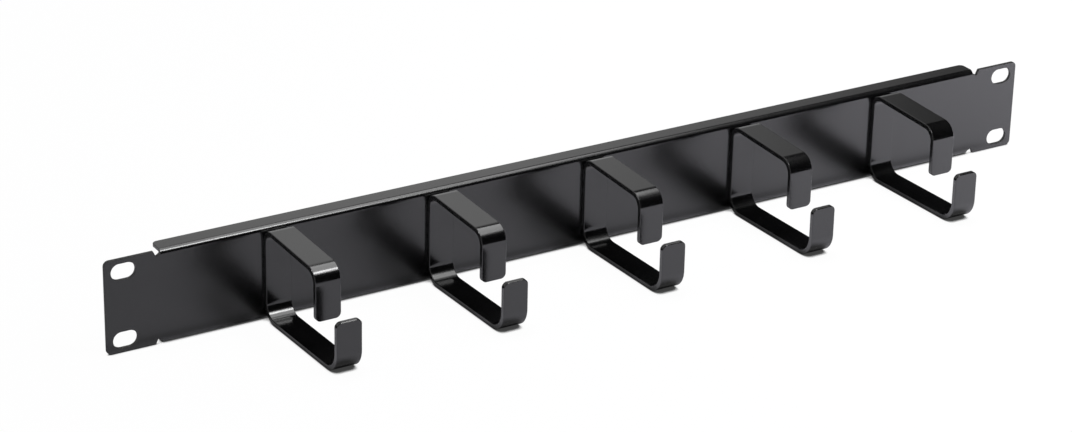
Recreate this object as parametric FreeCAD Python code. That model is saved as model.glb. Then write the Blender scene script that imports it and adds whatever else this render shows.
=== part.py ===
import FreeCAD, Part
import math
import os

# Horizontal cable manager, one unit high, for a 19-inch rack. Millimetres.
# A folded sheet panel carries a row of C-shaped rings bent from flat strip.
# X runs along the panel, -Y points out of the rack towards the user, +Z is up.
# The origin is the centre of the slot pattern, on the back faces of the ears.

# Panel sheet
PANEL_WIDTH = 482.6
PANEL_HEIGHT = 43.7
SHEET_THICKNESS = 1.5
EAR_CORNER_RADIUS = 2.5

# Slots for the rack screws, which bring them to 465.1 x 31.75 mm apart as racks need
SLOT_FROM_END = 8.75
SLOT_FROM_EDGE = 5.975
SLOT_LENGTH = 11.5
SLOT_WIDTH = 7.6

# Stiffening flanges, folded back along both long edges between the flat ears
EAR_LENGTH = 26.0
FLANGE_DEPTH = 9.6
FLANGE_BEND_RADIUS = 1.0
FLANGE_CORNER_RADIUS = 2.5

# Bend reliefs, one V-shaped notch at each end of each flange
RELIEF_WIDTH = 3.3
RELIEF_TIP_OFFSET = 2.0
RELIEF_PAST_BEND = 0.1
RELIEF_PAST_SHEET = 0.1

# Row of rings, whose tops stand a little above the panel
RING_COUNT = 5
RING_PITCH = 80.5
RING_TOP_RISE = 0.4

# Flat strip that each ring is bent from
STRIP_WIDTH = 12.0
STRIP_THICKNESS = 2.3
UPPER_REACH = 48.5
LOWER_REACH = 67.2
ARM_SLOPE_DEG = 1.5
UPPER_LIP_LENGTH = 23.8
LOWER_LIP_LENGTH = 24.7
LIP_CORNER_RADIUS = 2.5

# Inner bend radii of the strip, from the upper lip round to the lower lip
FRONT_UPPER_BEND_RADIUS = 5.0
REAR_UPPER_BEND_RADIUS = 4.5
REAR_LOWER_BEND_RADIUS = 6.5
FRONT_LOWER_BEND_RADIUS = 8.0

# Chamfers along the cut edges, which never take more than a share of the wall
SHEET_CHAMFER = 0.15
STRIP_CHAMFER = 0.2
MAX_CHAMFER_SHARE = 0.4

FRONT_Y = -SHEET_THICKNESS
FLANGE_REAR_Y = FRONT_Y + FLANGE_DEPTH
HALF_HEIGHT = PANEL_HEIGHT / 2
HALF_WIDTH = PANEL_WIDTH / 2
FLANGE_END_X = HALF_WIDTH - EAR_LENGTH
RELIEF_TIP_X = FLANGE_END_X + RELIEF_TIP_OFFSET
CUT_START_Y = FRONT_Y - SHEET_THICKNESS
CUT_THROUGH = FreeCAD.Vector(0, FLANGE_DEPTH + 2 * SHEET_THICKNESS, 0)
ACROSS_SHEET = FreeCAD.Vector(0, 1, 0)
SIGNS = (-1, 1)


def side_point(y, z):
    """A point of a cross-section, which lies in the YZ plane."""
    return FreeCAD.Vector(0, y, z)


def right_of(direction):
    """The unit vector to the right of travel in the YZ plane, seen from -X to +X."""
    return side_point(direction.z, -direction.y).normalize()


def inner_corners(corners, thickness):
    """The corner points of the sheet's inner face, to the right of its outer one."""
    runs = [after - before for before, after in zip(corners, corners[1:])]
    sides = [right_of(run) for run in runs]
    moved = [corners[0] + sides[0] * thickness]
    for corner, side, next_side in zip(corners[1:], sides, sides[1:]):
        bisector = (side + next_side).normalize()
        moved.append(corner + bisector * (thickness / bisector.dot(side)))
    moved.append(corners[-1] + sides[-1] * thickness)
    return moved


def bent_line(corners, radii):
    """Straight runs along the corners, joined by tangent arcs."""
    edges = []
    start = corners[0]
    for before, corner, after, radius in zip(corners, corners[1:], corners[2:], radii):
        arriving = (corner - before).normalize()
        leaving = (after - corner).normalize()
        half_turn = arriving.getAngle(leaving) / 2
        setback = radius * math.tan(half_turn)
        arc_start = corner - arriving * setback
        arc_end = corner + leaving * setback
        to_centre = (leaving - arriving).normalize()
        arc_middle = corner + to_centre * (radius / math.cos(half_turn) - radius)
        edges.append(Part.makeLine(start, arc_start))
        edges.append(Part.Arc(arc_start, arc_middle, arc_end).toShape())
        start = arc_end
    edges.append(Part.makeLine(start, corners[-1]))
    return edges


def bent_section(corners, inner_radii, thickness):
    """The cross-section of a folded sheet or strip, from its outer corner points."""
    inside = inner_corners(corners, thickness)
    outer_radii = [radius + thickness for radius in inner_radii]
    edges = bent_line(corners, outer_radii) + bent_line(inside, inner_radii)
    edges.append(Part.makeLine(corners[0], inside[0]))
    edges.append(Part.makeLine(corners[-1], inside[-1]))
    return Part.Face(Part.Wire(Part.sortEdges(edges)[0]))


def extrude_across(section, width):
    """A solid of the given width along X, centred on the section's plane."""
    section.translate(FreeCAD.Vector(-width / 2, 0, 0))
    return section.extrude(FreeCAD.Vector(width, 0, 0))


def sheet_cutout(points):
    """A prism along Y over points (x, z), long enough to cut panel and flanges."""
    corners = [FreeCAD.Vector(x, CUT_START_Y, z) for x, z in points]
    face = Part.Face(Part.makePolygon(corners + corners[:1]))
    return face.extrude(CUT_THROUGH)


def runs_along(edge, axis):
    """True where a straight edge is parallel to the axis."""
    if not isinstance(edge.Curve, Part.Line):
        return False
    return abs(edge.Curve.Direction.dot(axis)) > 1 - Part.Precision.angular()


def channel():
    """The middle of the panel: its front wall and the two flanges."""
    corners = [
        side_point(FLANGE_REAR_Y, -HALF_HEIGHT),
        side_point(FRONT_Y, -HALF_HEIGHT),
        side_point(FRONT_Y, HALF_HEIGHT),
        side_point(FLANGE_REAR_Y, HALF_HEIGHT),
    ]
    radii = [FLANGE_BEND_RADIUS, FLANGE_BEND_RADIUS]
    section = bent_section(corners, radii, SHEET_THICKNESS)
    return extrude_across(section, 2 * RELIEF_TIP_X)


def ear(side):
    """A flat ear, from the tip of the bend reliefs out to the end of the panel."""
    low_x = RELIEF_TIP_X if side > 0 else -HALF_WIDTH
    plate = Part.makeBox(HALF_WIDTH - RELIEF_TIP_X, SHEET_THICKNESS, PANEL_HEIGHT)
    plate.translate(FreeCAD.Vector(low_x, FRONT_Y, -HALF_HEIGHT))
    corners = [
        edge for edge in plate.Edges
        if runs_along(edge, ACROSS_SHEET) and edge.CenterOfMass.x * side > RELIEF_TIP_X + EAR_CORNER_RADIUS
    ]
    return plate.makeFillet(EAR_CORNER_RADIUS, corners)


def relief(side, end):
    """The notch between a flange end and an ear, which also trims the flange."""
    flange_x = side * FLANGE_END_X
    edge_z = end * HALF_HEIGHT
    above_z = edge_z + end * SHEET_THICKNESS
    ear_x = flange_x + side * RELIEF_WIDTH
    tip_depth = SHEET_THICKNESS + FLANGE_BEND_RADIUS + RELIEF_PAST_BEND
    shoulder_depth = SHEET_THICKNESS + RELIEF_PAST_SHEET
    points = [
        (side * RELIEF_TIP_X, edge_z - end * tip_depth),
        (ear_x, edge_z),
        (ear_x, above_z),
        (flange_x, above_z),
        (flange_x, edge_z - end * shoulder_depth),
    ]
    return sheet_cutout(points)


def slot(side, end):
    """A screw slot with round ends, through one ear."""
    radius = SLOT_WIDTH / 2
    straight = SLOT_LENGTH - SLOT_WIDTH
    centre_x = side * (HALF_WIDTH - SLOT_FROM_END)
    centre_z = end * (HALF_HEIGHT - SLOT_FROM_EDGE)
    cut = Part.makeBox(straight, CUT_THROUGH.Length, SLOT_WIDTH)
    cut.translate(FreeCAD.Vector(centre_x - straight / 2, CUT_START_Y, centre_z - radius))
    for direction in SIGNS:
        centre = FreeCAD.Vector(centre_x + direction * straight / 2, CUT_START_Y, centre_z)
        cut = cut.fuse(Part.makeCylinder(radius, CUT_THROUGH.Length, centre, CUT_THROUGH))
    return cut


def flange_corners(shape):
    """The edges at the rear corners of both flanges."""
    upright = FreeCAD.Vector(0, 0, 1)
    return [
        edge for edge in shape.Edges
        if runs_along(edge, upright) and edge.CenterOfMass.y > FLANGE_REAR_Y - SHEET_THICKNESS
    ]


def panel():
    """The folded panel with its ears, reliefs and slots."""
    corners = [(side, end) for side in SIGNS for end in SIGNS]
    body = channel().fuse([ear(side) for side in SIGNS])
    body = body.cut([relief(side, end) for side, end in corners]).removeSplitter()
    body = body.makeFillet(FLANGE_CORNER_RADIUS, flange_corners(body))
    body = chamfered(body, SHEET_CHAMFER, SHEET_THICKNESS)
    return body.cut([slot(side, end) for side, end in corners])


def is_sharp(edge, shape):
    """True where the two faces beside the edge meet at an angle."""
    middle = edge.valueAt((edge.FirstParameter + edge.LastParameter) / 2)
    faces = shape.ancestorsOfType(edge, Part.Face)
    normals = [face.normalAt(*face.Surface.parameter(middle)) for face in faces]
    return abs(normals[0].dot(normals[-1])) < 1 - Part.Precision.approximation()


def chamfered(shape, size, wall):
    """The shape with its cut outline chamfered, by no more than its wall allows.

    The short edges across the sheet stay sharp. Where the outline itself runs along Y,
    it carries on smoothly from a curve, and the chamfer of that curve goes on along it.
    """
    outline = [
        edge for edge in shape.Edges
        if is_sharp(edge, shape) and not runs_along(edge, ACROSS_SHEET)
    ]
    return shape.makeChamfer(min(size, wall * MAX_CHAMFER_SHARE), outline)


def ring():
    """One C-shaped ring on the panel's front face, at the middle of the panel."""
    slope = math.tan(math.radians(ARM_SLOPE_DEG))
    top_z = HALF_HEIGHT + RING_TOP_RISE
    upper_z = top_z - slope * UPPER_REACH
    lower_z = -HALF_HEIGHT + slope * LOWER_REACH
    upper_y = FRONT_Y - UPPER_REACH
    lower_y = FRONT_Y - LOWER_REACH
    corners = [
        side_point(upper_y, upper_z - UPPER_LIP_LENGTH),
        side_point(upper_y, upper_z),
        side_point(FRONT_Y, top_z),
        side_point(FRONT_Y, -HALF_HEIGHT),
        side_point(lower_y, lower_z),
        side_point(lower_y, lower_z + LOWER_LIP_LENGTH),
    ]
    radii = [
        FRONT_UPPER_BEND_RADIUS,
        REAR_UPPER_BEND_RADIUS,
        REAR_LOWER_BEND_RADIUS,
        FRONT_LOWER_BEND_RADIUS,
    ]
    strip = extrude_across(bent_section(corners, radii, STRIP_THICKNESS), STRIP_WIDTH)
    strip = strip.makeFillet(LIP_CORNER_RADIUS, lip_corners(strip))
    return chamfered(strip, STRIP_CHAMFER, STRIP_THICKNESS)


def lip_corners(strip):
    """The edges across the strip's thickness, at the tips of both lips."""
    return [
        edge for edge in strip.Edges
        if runs_along(edge, ACROSS_SHEET) and math.isclose(edge.Length, STRIP_THICKNESS)
    ]


def write_node(shape, name):
    shape.exportStep(os.path.join("parts", name + ".step"))


def build():
    os.makedirs("parts", exist_ok=True)
    write_node(panel(), "panel")
    first_x = -RING_PITCH * (RING_COUNT - 1) / 2
    for index in range(RING_COUNT):
        placed = ring()
        placed.translate(FreeCAD.Vector(first_x + index * RING_PITCH, 0, 0))
        write_node(placed, f"ring_{index + 1}")


build()
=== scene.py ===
import math

import bpy
from mathutils import Matrix, Quaternion, Vector

# A one-unit horizontal cable manager in black powder coat, on a white table in soft light.
# Places and sizes are in metres in the row frame, angles in degrees. A brightness of 1 is white.

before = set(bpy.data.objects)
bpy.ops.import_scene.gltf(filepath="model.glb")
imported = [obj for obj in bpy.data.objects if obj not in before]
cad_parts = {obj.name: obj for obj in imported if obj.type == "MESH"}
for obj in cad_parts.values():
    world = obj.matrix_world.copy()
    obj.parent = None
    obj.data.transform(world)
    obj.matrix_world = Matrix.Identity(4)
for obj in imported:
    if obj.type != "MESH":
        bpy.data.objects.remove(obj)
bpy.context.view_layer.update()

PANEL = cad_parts["panel"]
RINGS = [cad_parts[name] for name in sorted(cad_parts) if name.startswith("ring_")]

# Camera, with its lens and sensor in millimetres
CAMERA_PLACE = Vector((-0.741724, -1.167849, 0.613417))
CAMERA_AZIMUTH = -31.3802
CAMERA_ELEVATION = 24.2558
CAMERA_ROLL = 1.1843
CAMERA_LENS = 111.679
CAMERA_SENSOR = 36.0
CAMERA_CLIP = (0.01, 20.0)

# Gloss of the powder coat, which varies a little and is dull on the ears' cut edges
PANEL_ROUGHNESS = 0.21
RING_ROUGHNESS = 0.16
ROUGHNESS_VARIATION = 0.018
CUT_EDGE_DULLNESS = 0.4
COAT_IOR = 1.6

# Colours of the powder coat's dark and light grains
COAT_DARK = (0.0012, 0.0012, 0.0013, 1.0)
COAT_LIGHT = (0.0024, 0.0024, 0.0026, 1.0)

# Surface of the powder coat: each noise has a scale, a detail and a roughness, each bump a height
EDGE_RADIUS = 0.0002
EDGE_SAMPLES = 8
PEEL_NOISE, PEEL_HEIGHT = (900.0, 2.0, 0.5), 0.00012
GRIT_NOISE, GRIT_HEIGHT = (3200.0, 1.0, 0.5), 0.00004
CLOUD_NOISE = (38.0, 3.0, 0.6)
NOISE_RANGE = (0.3, 0.7)
BUMP_STRENGTH = 0.05

# Where the ears start, from the panel's middle, and how far along Y a face looks that isn't cut
EAR_START = (0.2150, 0.2160)
FLAT_FACING = (0.90, 0.98)

# Table, which touches the panel's lower bend and the rings' lower front bends
TABLE_CONTACT = Vector((0.0, 0.001, -0.02185))
TABLE_SLOPE = 0.025
TABLE_X = (-1.2, 1.6)
TABLE_Y = (-0.3, 1.6)

# Share of the table's look that is plain white, for the camera and for reflections
WHITE_TO_EYE = 0.98
WHITE_TO_GLOSS = 0.15

# Painted contact shadow, a dark line on the plain white where the object touches it: its reach, how open the
# table is at its two ends, and how bright
PAINTED_CONTACT_SHADOW_REACH = 0.004
PAINTED_CONTACT_SHADOW_OPENNESS = (0.35, 0.65)
PAINTED_CONTACT_SHADOW_BRIGHTNESS = (0.05, 1.0)

# Painted shade on the table near the object, seen in reflections, which ends in front of the panel, and the
# table's colours in and out of it
PAINTED_SHADE_REACH = 0.012
PAINTED_SHADE_OPENNESS = (0.60, 0.97)
PAINTED_SHADE_END_Y = (-0.012, -0.004)
TABLE_SHADED = (0.05, 0.05, 0.05, 1.0)
TABLE_OPEN = (0.86, 0.85, 0.92, 1.0)
SHADE_SAMPLES = 16

# World: bearings, from +Y towards +X, over which the backdrop brightens or ends
AHEAD_BEARINGS, AHEAD_BRIGHTNESS = (20, 27), (0.7, 1.0)
RIGHT_END_BEARINGS = (31, 41)
LEFT_END_BEARINGS = (-160, -140)
ROOM_TO_BACKDROP = (0.008, 0.91)
AMBIENT = 0.06
WHITE = (1.0, 1.0, 1.0, 1.0)

# Lamps: place, the point that each faces, width and height, radiance, and turn about its direction
LAMPS = {
    "overhead": ((0.46, -0.145, 1.3), (0.46, -0.145, 0.0), (0.54, 1.75), 4.0, -8.0),
    "overhead_core": ((0.35, -0.67, 1.29), (0.35, -0.67, 0.0), (0.30, 0.38), 21.0, 0.0),
    "left": ((-1.1, 0.15, 0.75), (0.0, 0.0, 0.0), (0.20, 0.20), 14.0, 0.0),
    "right": ((0.75, -0.10, 0.24), (0.30, -0.05, -0.02), (0.50, 0.30), 22.0, 0.0),
}
# This one lights the table and doesn't show in the gloss
LAMP_OUT_OF_GLOSS = "right"


class Graph:
    """A material's or world's node tree, built by short calls."""

    def __init__(self, tree):
        self.tree = tree
        tree.nodes.clear()

    def add(self, kind, **values):
        node = self.tree.nodes.new(kind)
        for name, value in values.items():
            setattr(node, name, value)
        return node

    def join(self, out, into):
        self.tree.links.new(out, into)

    def math(self, operation, first, second):
        node = self.add("ShaderNodeMath", operation=operation)
        for socket, value in zip(node.inputs, (first, second)):
            if isinstance(value, bpy.types.NodeSocket):
                self.join(value, socket)
            else:
                socket.default_value = value
        return node.outputs[0]

    def spread(self, value, source, result):
        """The value mapped from one range to another, held at its ends."""
        node = self.add("ShaderNodeMapRange")
        self.join(value, node.inputs["Value"])
        for name, number in zip(("From Min", "From Max", "To Min", "To Max"), source + result):
            node.inputs[name].default_value = number
        return node.outputs["Result"]

    def ramp(self, value, source, colors):
        """The value mapped from a range to the colours between these two."""
        node = self.add("ShaderNodeValToRGB")
        for element, position, color in zip(node.color_ramp.elements, source, colors):
            element.position = position
            element.color = color
        self.join(value, node.inputs["Fac"])
        return node.outputs["Color"]

    def axes(self, vector):
        """The X, Y and Z of a vector, as the outputs of one node."""
        node = self.add("ShaderNodeSeparateXYZ")
        self.join(vector, node.inputs["Vector"])
        return node.outputs

    def place(self):
        return self.add("ShaderNodeTexCoord").outputs["Object"]

    def noise(self, place, scale, detail, roughness):
        node = self.add("ShaderNodeTexNoise")
        self.join(place, node.inputs["Vector"])
        node.inputs["Scale"].default_value = scale
        node.inputs["Detail"].default_value = detail
        node.inputs["Roughness"].default_value = roughness
        return node.outputs["Fac"]

    def bump(self, noise, height, normal):
        node = self.add("ShaderNodeBump")
        self.join(noise, node.inputs["Height"])
        self.join(normal, node.inputs["Normal"])
        node.inputs["Distance"].default_value = height
        node.inputs["Strength"].default_value = BUMP_STRENGTH
        return node.outputs["Normal"]

    def openness(self, reach):
        """1 where nothing lies within reach, and 0 where all is covered."""
        node = self.add("ShaderNodeAmbientOcclusion", samples=SHADE_SAMPLES)
        node.inputs["Distance"].default_value = reach
        return node.outputs["AO"]

    def is_ray(self, *kinds):
        """1 for rays of these kinds, and 0 for all others."""
        path = self.add("ShaderNodeLightPath")
        value = path.outputs[kinds[0]]
        for kind in kinds[1:]:
            value = self.math("MAXIMUM", value, path.outputs[kind])
        return value

    def mix(self, share, first, second):
        """The first shader, with this share of the second."""
        node = self.add("ShaderNodeMixShader")
        self.join(share, node.inputs["Fac"])
        self.join(first.outputs[0], node.inputs[1])
        self.join(second.outputs[0], node.inputs[2])
        return node

    def finish(self, kind, shader):
        self.join(shader.outputs[0], self.add(kind).inputs["Surface"])


def radians(*angles):
    return tuple(math.radians(angle) for angle in angles)


def put(name, data):
    """A new object in the scene."""
    thing = bpy.data.objects.new(name, data)
    bpy.context.scene.collection.objects.link(thing)
    return thing


def new_material(name):
    material = bpy.data.materials.new(name)
    material.use_nodes = True
    return material, Graph(material.node_tree)


def dress(node, material):
    """The node keeps its mesh and takes the material."""
    if not node.material_slots:
        node.data.materials.append(material)
    for material_slot in node.material_slots:
        material_slot.material = material


def cut_edges(graph, place):
    """1 on the cut edges of the sheet's flat ears, and 0 elsewhere."""
    facing = graph.axes(graph.add("ShaderNodeNewGeometry").outputs["True Normal"])["Y"]
    on_ear = graph.spread(graph.math("ABSOLUTE", graph.axes(place)["X"], 0.0), EAR_START, (0.0, 1.0))
    off_face = graph.spread(graph.math("ABSOLUTE", facing, 0.0), FLAT_FACING, (1.0, 0.0))
    return graph.math("MULTIPLY", on_ear, off_face)


def powder_coat(name, roughness, has_ears):
    """Semi-gloss black powder coat with fine orange peel, soft edges and uneven gloss."""
    material, graph = new_material(name)
    place = graph.place()
    peel = graph.noise(place, *PEEL_NOISE)
    grit = graph.noise(place, *GRIT_NOISE)
    cloud = graph.noise(place, *CLOUD_NOISE)

    edge = graph.add("ShaderNodeBevel", samples=EDGE_SAMPLES)
    edge.inputs["Radius"].default_value = EDGE_RADIUS
    normal = graph.bump(peel, PEEL_HEIGHT, edge.outputs["Normal"])
    normal = graph.bump(grit, GRIT_HEIGHT, normal)

    around = (roughness - ROUGHNESS_VARIATION, roughness + ROUGHNESS_VARIATION)
    gloss = graph.spread(cloud, NOISE_RANGE, around)
    if has_ears:
        dull = graph.math("MULTIPLY", cut_edges(graph, place), CUT_EDGE_DULLNESS)
        gloss = graph.math("ADD", gloss, dull)

    shader = graph.add("ShaderNodeBsdfPrincipled")
    shader.inputs["IOR"].default_value = COAT_IOR
    graph.join(graph.ramp(grit, NOISE_RANGE, (COAT_DARK, COAT_LIGHT)), shader.inputs["Base Color"])
    graph.join(gloss, shader.inputs["Roughness"])
    graph.join(normal, shader.inputs["Normal"])
    graph.finish("ShaderNodeOutputMaterial", shader)
    return material


def table_white():
    """White to the eye, with a painted contact shadow as a dark line where the object touches it. Pale in
    the gloss, with painted shade near the object.
    """
    material, graph = new_material("table_white")

    # Painted shade: the table's colour darkens near the object, short of the panel, and shows in reflections
    open_around = graph.spread(graph.openness(PAINTED_SHADE_REACH), PAINTED_SHADE_OPENNESS, (0.0, 1.0))
    past_painted_shade = graph.spread(graph.axes(graph.place())["Y"], PAINTED_SHADE_END_Y, (0.0, 1.0))
    clear = graph.math("MAXIMUM", open_around, past_painted_shade)
    pale_with_painted_shade = graph.add("ShaderNodeBsdfDiffuse")
    graph.join(graph.ramp(clear, (0.0, 1.0), (TABLE_SHADED, TABLE_OPEN)), pale_with_painted_shade.inputs["Color"])

    # Painted contact shadow: the white glow dims where the object is within reach
    painted_contact_shadow = graph.spread(graph.openness(PAINTED_CONTACT_SHADOW_REACH), PAINTED_CONTACT_SHADOW_OPENNESS, PAINTED_CONTACT_SHADOW_BRIGHTNESS)
    white = graph.add("ShaderNodeEmission")
    graph.join(painted_contact_shadow, white.inputs["Strength"])

    to_eye = graph.math("MULTIPLY", graph.is_ray("Is Camera Ray"), WHITE_TO_EYE)
    in_gloss = graph.is_ray("Is Glossy Ray", "Is Transmission Ray")
    to_gloss = graph.math("MULTIPLY", in_gloss, WHITE_TO_GLOSS)
    look = graph.mix(graph.math("MAXIMUM", to_eye, to_gloss), pale_with_painted_shade, white)
    graph.finish("ShaderNodeOutputMaterial", look)
    return material


def make_table():
    """One plane, which slopes as the part leans."""
    corners = [
        (x, y, TABLE_CONTACT.z + (TABLE_CONTACT.y - y) * TABLE_SLOPE)
        for y in TABLE_Y for x in TABLE_X
    ]
    mesh = bpy.data.meshes.new("table")
    mesh.from_pydata(corners, [], [(0, 1, 3, 2)])
    floor = put("table", mesh)
    dress(floor, table_white())


def make_world():
    """White to the eye. In the gloss, a white backdrop behind and to the left, and a dark room elsewhere."""
    world = bpy.data.worlds.new("studio")
    bpy.context.scene.world = world
    world.use_nodes = True
    graph = Graph(world.node_tree)

    direction = graph.axes(graph.add("ShaderNodeTexCoord").outputs["Generated"])
    bearing = graph.math("ARCTAN2", direction["X"], direction["Y"])
    ahead = graph.spread(bearing, radians(*AHEAD_BEARINGS), AHEAD_BRIGHTNESS)
    right_end = graph.spread(bearing, radians(*RIGHT_END_BEARINGS), (1.0, 0.0))
    left_end = graph.spread(bearing, radians(*LEFT_END_BEARINGS), (0.0, 1.0))
    backdrop = graph.math("MULTIPLY", graph.math("MULTIPLY", ahead, right_end), left_end)
    in_gloss = graph.spread(backdrop, (0.0, 1.0), ROOM_TO_BACKDROP)

    ambient = graph.add("ShaderNodeBackground")
    ambient.inputs["Color"].default_value = WHITE
    ambient.inputs["Strength"].default_value = AMBIENT
    seen = graph.add("ShaderNodeBackground")
    seen.inputs["Color"].default_value = WHITE
    graph.join(graph.math("MAXIMUM", in_gloss, graph.is_ray("Is Camera Ray")), seen.inputs["Strength"])

    is_seen = graph.is_ray("Is Camera Ray", "Is Glossy Ray", "Is Transmission Ray")
    graph.finish("ShaderNodeOutputWorld", graph.mix(is_seen, ambient, seen))


def softbox(name, place, target, size, radiance, turn):
    """A rectangular lamp that faces the target."""
    data = bpy.data.lights.new(name, "AREA")
    data.shape = "RECTANGLE"
    width, height = size
    data.size, data.size_y = width, height
    data.energy = radiance * math.pi * width * height
    lamp = put(name, data)
    lamp.location = place
    lamp.rotation_mode = "QUATERNION"
    facing = (Vector(target) - Vector(place)).to_track_quat("-Z", "Y")
    lamp.rotation_quaternion = facing @ Quaternion((0.0, 0.0, 1.0), math.radians(turn))
    lamp.visible_glossy = name != LAMP_OUT_OF_GLOSS


def make_camera():
    """The photograph's view, from its place, direction and roll."""
    azimuth, elevation, roll = radians(CAMERA_AZIMUTH, CAMERA_ELEVATION, CAMERA_ROLL)
    back = Vector((
        math.sin(azimuth) * math.cos(elevation),
        -math.cos(azimuth) * math.cos(elevation),
        math.sin(elevation),
    ))
    level = Vector((math.cos(azimuth), math.sin(azimuth), 0.0))
    upright = back.cross(level)
    right = math.cos(roll) * level + math.sin(roll) * upright
    up = math.cos(roll) * upright - math.sin(roll) * level

    data = bpy.data.cameras.new("camera")
    data.sensor_fit = "HORIZONTAL"
    data.sensor_width = CAMERA_SENSOR
    data.lens = CAMERA_LENS
    data.clip_start, data.clip_end = CAMERA_CLIP
    camera = put("camera", data)
    turn = Matrix((right, up, back)).transposed().to_4x4()
    camera.matrix_world = Matrix.Translation(CAMERA_PLACE) @ turn
    bpy.context.scene.camera = camera


dress(PANEL, powder_coat("powder_coat_panel", PANEL_ROUGHNESS, has_ears=True))
ring_coat = powder_coat("powder_coat_ring", RING_ROUGHNESS, has_ears=False)
for ring in RINGS:
    dress(ring, ring_coat)

make_table()
make_world()
for lamp_name, lamp_values in LAMPS.items():
    softbox(lamp_name, *lamp_values)
make_camera()
bpy.context.scene.view_settings.view_transform = "Standard"
